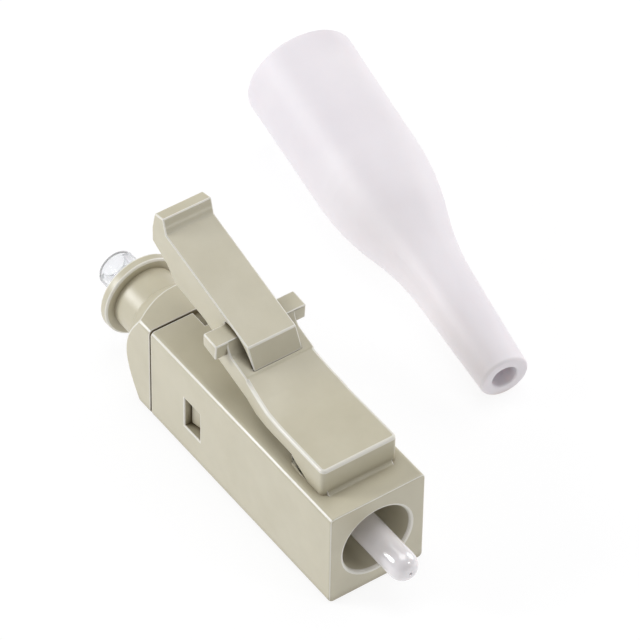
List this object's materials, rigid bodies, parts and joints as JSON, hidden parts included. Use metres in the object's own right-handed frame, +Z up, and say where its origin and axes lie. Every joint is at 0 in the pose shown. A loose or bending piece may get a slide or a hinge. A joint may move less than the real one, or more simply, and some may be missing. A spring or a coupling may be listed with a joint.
{
  "type": "lc fibre connector",
  "caption": "Small square fibre optic plug with a flexing latch and thumb bar, a sprung ceramic ferrule, and its push-on strain relief boot lying beside it.",
  "frame": {"origin": "on the ferrule's axis, in the plane of the plug housing's front face", "axes": "+X along the ferrule towards the mating partner, +Z up towards the latch, +Y to the plug's left seen from behind; the boot lies on the +Y side"},
  "size_m": [0.0254, 0.017, 0.0097],
  "materials": {
    "connector_plastic": "satin moulded beige",
    "clear_plastic": "clear",
    "zirconia": "polished",
    "steel": "turned",
    "spring_steel": "drawn",
    "boot_elastomer": "satin white"
  },
  "bodies": {
    "connector": {"plug_housing": "connector_plastic", "rear_body": "connector_plastic", "lead_in_tube": "clear_plastic", "spring": "spring_steel", "boot": "boot_elastomer"},
    "ferrule_unit": {"ferrule": "zirconia", "ferrule_holder": "steel"},
    "latch": {"latch_arm": "connector_plastic"}
  },
  "joints": [
    {"name": "ferrule_slide", "type": "slide", "parent": "connector", "child": "ferrule_unit", "axis": [-1, 0, 0], "range_m": [0, 0.0009], "stiffness_N_per_m": 2000, "deforming": ["spring"]},
    {"name": "latch_press", "type": "hinge", "parent": "connector", "child": "latch", "pos_m": [-0.00355, 0, 0.00327], "axis": [0, -1, 0], "range_deg": [0, 14], "stiffness_Nm_per_rad": 0.26}
  ]
}
